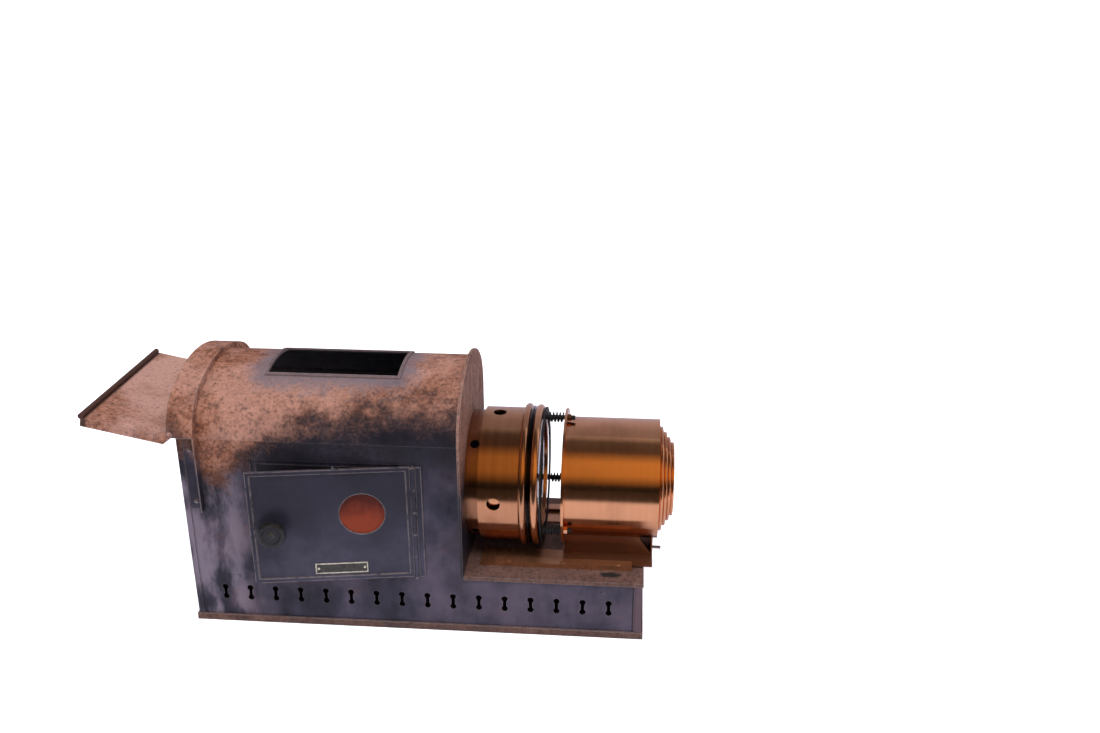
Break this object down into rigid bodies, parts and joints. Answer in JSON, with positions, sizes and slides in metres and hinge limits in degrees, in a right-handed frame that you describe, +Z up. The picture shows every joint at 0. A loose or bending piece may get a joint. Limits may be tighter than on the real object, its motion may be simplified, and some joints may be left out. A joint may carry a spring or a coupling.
{
  "type": "magic lantern",
  "caption": "Sheet-iron magic lantern with an arched lamphouse, hinged side door, rear hood flap, brass condenser, sprung slide stage and telescoping lens front.",
  "frame": {"origin": "middle of the plinth on its underside", "axes": "+X forward along the optical axis, +Y to the far side from the door, +Z up"},
  "size_m": [0.4761, 0.1774, 0.222],
  "materials": {
    "blued_iron": "blued, rust-flecked",
    "rusted_iron": "rust-browned",
    "inner_iron": "dull",
    "lacquered_brass": "spun, aged lacquer",
    "black_steel": "blackened",
    "bright_steel": "dull bright",
    "clear_glass": "polished",
    "ruby_glass": "polished",
    "ebonised_wood": "black polished",
    "silvered_mirror": "silvered",
    "lampholder_brass": "dull"
  },
  "bodies": {
    "lantern": {"near_side_panel": "blued_iron", "far_side_panel": "blued_iron", "base_front_panel": "blued_iron", "base_rear_panel": "blued_iron", "hinge_leaf": "blued_iron", "hinge_pin": "blued_iron", "roof_panel": "rusted_iron", "chimney_rim": "rusted_iron", "base_rim": "rusted_iron", "deck_plate": "rusted_iron", "front_plate": "rusted_iron", "hood_band": "rusted_iron", "flap_pivots": "rusted_iron", "seam_strips": "inner_iron", "base_floor": "inner_iron", "lamp_floor": "inner_iron", "door_frame": "inner_iron", "tray_runners": "inner_iron", "condenser_neck": "lacquered_brass", "condenser_drum": "lacquered_brass", "condenser_cell": "lacquered_brass", "cell_seat": "lacquered_brass", "condenser_spacer": "lacquered_brass", "condenser_ring": "lacquered_brass", "bed_plate": "lacquered_brass", "bed_guides": "lacquered_brass", "hood_rivets": "bright_steel", "bed_screws": "bright_steel", "condenser_rear_lens": "clear_glass", "condenser_front_lens": "clear_glass"},
    "door": {"side_door": "blued_iron", "ruby_glass": "ruby_glass", "glass_retainer": "blued_iron", "door_knob": "ebonised_wood", "knob_screw": "bright_steel", "knob_nut": "bright_steel"},
    "hood_flap": {"hood_flap": "rusted_iron"},
    "lens_front": {"saddle": "lacquered_brass", "stage_flange": "lacquered_brass", "lens_jacket": "lacquered_brass", "front_peg": "bright_steel", "stage_springs": "black_steel"},
    "stage_plate": {"pressure_plate": "black_steel", "stage_posts": "black_steel", "post_nuts": "black_steel"},
    "draw_1": {"draw_tube_1": "lacquered_brass"},
    "draw_2": {"draw_tube_2": "lacquered_brass"},
    "draw_3": {"draw_tube_3": "lacquered_brass"},
    "draw_4": {"draw_tube_4": "lacquered_brass", "objective_barrel": "lacquered_brass", "objective_front_lens": "clear_glass", "objective_rear_lens": "clear_glass", "objective_rings": "lacquered_brass"},
    "lamp_tray": {"lamp_tray": "inner_iron", "lamp_pillar": "bright_steel"},
    "lamp_carrier": {"lamp_bracket": "bright_steel", "lampholder": "lampholder_brass", "lamp_bulb": "clear_glass", "lamp_reflector": "silvered_mirror"},
    "clamp_screw": {"bracket_screw": "bright_steel"}
  },
  "joints": [
    {"name": "door_hinge", "type": "hinge", "parent": "lantern", "child": "door", "pos_m": [0.0034, -0.0709, 0.05], "axis": [0, 0, 1], "range_deg": [-9, 100]},
    {"name": "flap_pivot", "type": "hinge", "parent": "lantern", "child": "hood_flap", "pos_m": [-0.189, 0, 0.1765], "axis": [0, 1, 0], "range_deg": [-60, 40]},
    {"name": "front_slide", "type": "slide", "parent": "lantern", "child": "lens_front", "axis": [1, 0, 0], "range_m": [0, 0.035]},
    {"name": "stage_spring_travel", "type": "slide", "parent": "lens_front", "child": "stage_plate", "axis": [1, 0, 0], "range_m": [0, 0.008], "stiffness_N_per_m": 600, "springref_m": -0.004, "deforming": ["stage_springs"]},
    {"name": "draw_1_slide", "type": "slide", "parent": "lens_front", "child": "draw_1", "axis": [1, 0, 0], "range_m": [0, 0.058]},
    {"name": "draw_2_slide", "type": "slide", "parent": "draw_1", "child": "draw_2", "axis": [1, 0, 0], "range_m": [0, 0.058]},
    {"name": "draw_3_slide", "type": "slide", "parent": "draw_2", "child": "draw_3", "axis": [1, 0, 0], "range_m": [0, 0.058]},
    {"name": "draw_4_slide", "type": "slide", "parent": "draw_3", "child": "draw_4", "axis": [1, 0, 0], "range_m": [0, 0.058]},
    {"name": "tray_slide", "type": "slide", "parent": "lantern", "child": "lamp_tray", "axis": [-1, 0, 0], "range_m": [0, 0.12]},
    {"name": "lamp_height", "type": "slide", "parent": "lamp_tray", "child": "lamp_carrier", "axis": [0, 0, 1], "range_m": [-0.01, 0.02]},
    {"name": "clamp_turn", "type": "hinge", "parent": "lamp_carrier", "child": "clamp_screw", "pos_m": [-0.0795, 0, 0.074], "axis": [-1, 0, 0], "range_deg": [-180, 180]}
  ]
}
